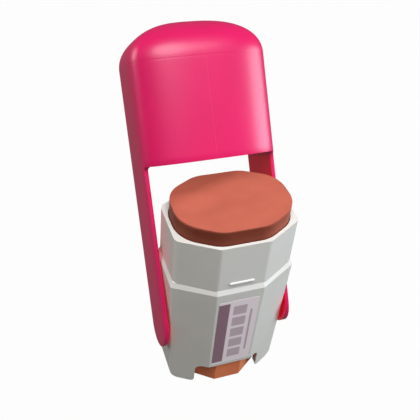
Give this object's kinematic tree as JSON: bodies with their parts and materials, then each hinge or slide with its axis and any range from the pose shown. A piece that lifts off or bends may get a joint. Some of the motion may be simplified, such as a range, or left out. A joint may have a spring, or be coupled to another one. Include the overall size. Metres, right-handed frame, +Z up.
{
  "type": "twist-up blush stick",
  "caption": "Oval faceted twist-up cosmetic stick, opened: a domed cap on two long arms is swung back on side bosses, and a base dial winds a solid blush up out of the collar.",
  "frame": {"origin": "on the surface that the two feet stand on, below the middle of the case", "axes": "+X to the right seen from the front, along the cap's hinge line; +Y to the back, where the cap is swung; +Z up along the case and the dial's axis"},
  "size_m": [0.0374, 0.0648, 0.0888],
  "materials": {
    "case": "gloss moulded, white",
    "dial": "satin moulded, terracotta",
    "carrier": "plain moulded, white",
    "blush": "smooth pressed wax, terracotta",
    "cap": "satin moulded, hot pink"
  },
  "bodies": {
    "case": {"case": "case"},
    "dial": {"dial": "dial"},
    "carriage": {"carrier": "carrier", "blush": "blush"},
    "cap": {"cap": "cap"}
  },
  "joints": [
    {"name": "dial_turn", "type": "hinge", "parent": "case", "child": "dial", "pos_m": [0, 0, 0.004], "axis": [0, 0, 1], "range_deg": [-504, 2250]},
    {"name": "blush_lift", "type": "slide", "parent": "case", "child": "carriage", "axis": [0, 0, 1], "range_m": [-0.0056, 0.025]},
    {"name": "cap_swing", "type": "hinge", "parent": "case", "child": "cap", "pos_m": [0, 0, 0.02], "axis": [-1, 0, 0], "range_deg": [-128, 60]}
  ],
  "couplings": [
    {"joint": "dial_turn", "follows": "blush_lift", "rad_per_m": 1570.8}
  ]
}
